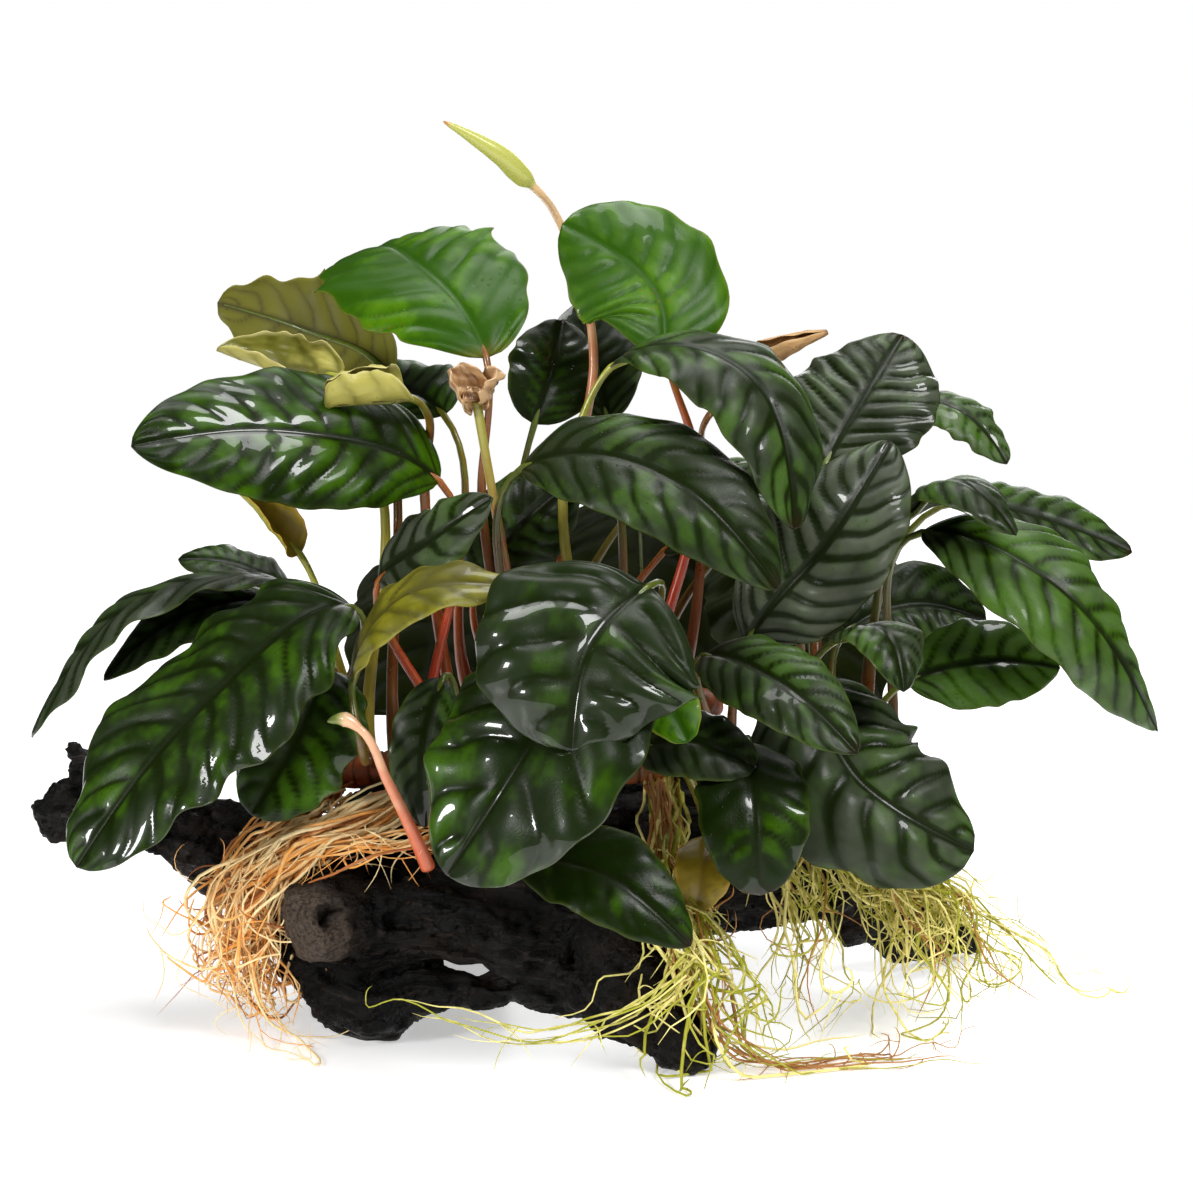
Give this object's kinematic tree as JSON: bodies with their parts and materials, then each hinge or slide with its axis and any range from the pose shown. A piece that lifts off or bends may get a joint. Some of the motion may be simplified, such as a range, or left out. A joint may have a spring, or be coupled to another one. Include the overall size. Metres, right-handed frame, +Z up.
{
  "type": "anubias on driftwood",
  "caption": "Broad-leaved water plant with ribbed glossy leaves, rhizomes and roots grown onto a branching piece of blackened driftwood that stands free.",
  "frame": {"origin": "on the surface that the wood stands on, below the middle of the whole plant", "axes": "+Z up, +X to the right and +Y away from the front, where the worn end of the wood faces left and forward"},
  "size_m": [0.3929, 0.2292, 0.3134],
  "materials": {
    "leaf_dark": "wet, glossy, quilted dark green",
    "leaf_bright": "glossy fresh green",
    "leaf_olive": "satin olive underside",
    "leaf_withered": "pale, limp",
    "leaf_dried": "dry brown",
    "leaf_yellow": "yellow green",
    "driftwood": "blackened, ridged, wet",
    "rhizome": "scarred, brown and green",
    "flower_stalk": "smooth, red to pale green",
    "roots_tan": "thin tan strands",
    "roots_green": "thin yellow-green strands"
  },
  "bodies": {
    "root": {"leaf_upper_left": "leaf_dark", "leaf_top_left": "leaf_bright", "leaf_olive": "leaf_olive", "leaf_behind_olive": "leaf_dark", "leaf_withered": "leaf_withered", "leaf_rolled": "leaf_withered", "leaf_standing": "leaf_dark", "leaf_standing_rear": "leaf_dark", "leaf_top": "leaf_bright", "leaf_drooping": "leaf_dark", "leaf_dried": "leaf_dried", "leaf_tall_rear": "leaf_dark", "leaf_tall_front": "leaf_dark", "leaf_right_pale": "leaf_dark", "leaf_right_curled": "leaf_dark", "leaf_right_large": "leaf_dark", "leaf_right_rear": "leaf_dark", "leaf_right_low": "leaf_dark", "leaf_right_middle": "leaf_dark", "leaf_right_small": "leaf_dark", "leaf_centre_right": "leaf_dark", "leaf_low_right": "leaf_dark", "leaf_low_middle": "leaf_dark", "leaf_small_dark": "leaf_dark", "leaf_small_bright": "leaf_bright", "leaf_front_large": "leaf_dark", "leaf_front_centre": "leaf_dark", "leaf_centre": "leaf_dark", "leaf_left_grey": "leaf_dark", "leaf_arched_olive": "leaf_olive", "leaf_left_large": "leaf_dark", "leaf_left_low": "leaf_dark", "leaf_far_left": "leaf_dark", "leaf_far_left_low": "leaf_dark", "leaf_far_left_rear": "leaf_dark", "leaf_furled": "leaf_yellow", "leaf_low_front": "leaf_dark", "leaf_yellowing": "leaf_yellow", "leaf_inner_dark": "leaf_dark", "leaf_inner_low": "leaf_dark", "leaf_rear_left": "leaf_dark", "leaf_rear_middle": "leaf_dark", "leaf_rear_right": "leaf_dark", "leaf_rear_upper": "leaf_dark", "wood_trunk": "driftwood", "wood_front_limb": "driftwood", "wood_lower_strand": "driftwood", "wood_left_arm": "driftwood", "wood_right_arm": "driftwood", "wood_back_limb": "driftwood", "rhizome_left": "rhizome", "rhizome_middle": "rhizome", "rhizome_right": "rhizome", "rhizome_back": "rhizome", "spathe_bud": "flower_stalk", "spathe_withered": "flower_stalk", "spathe_stalk": "flower_stalk", "roots_left": "roots_tan", "roots_front": "roots_green", "roots_right": "roots_green"}
  },
  "joints": []
}
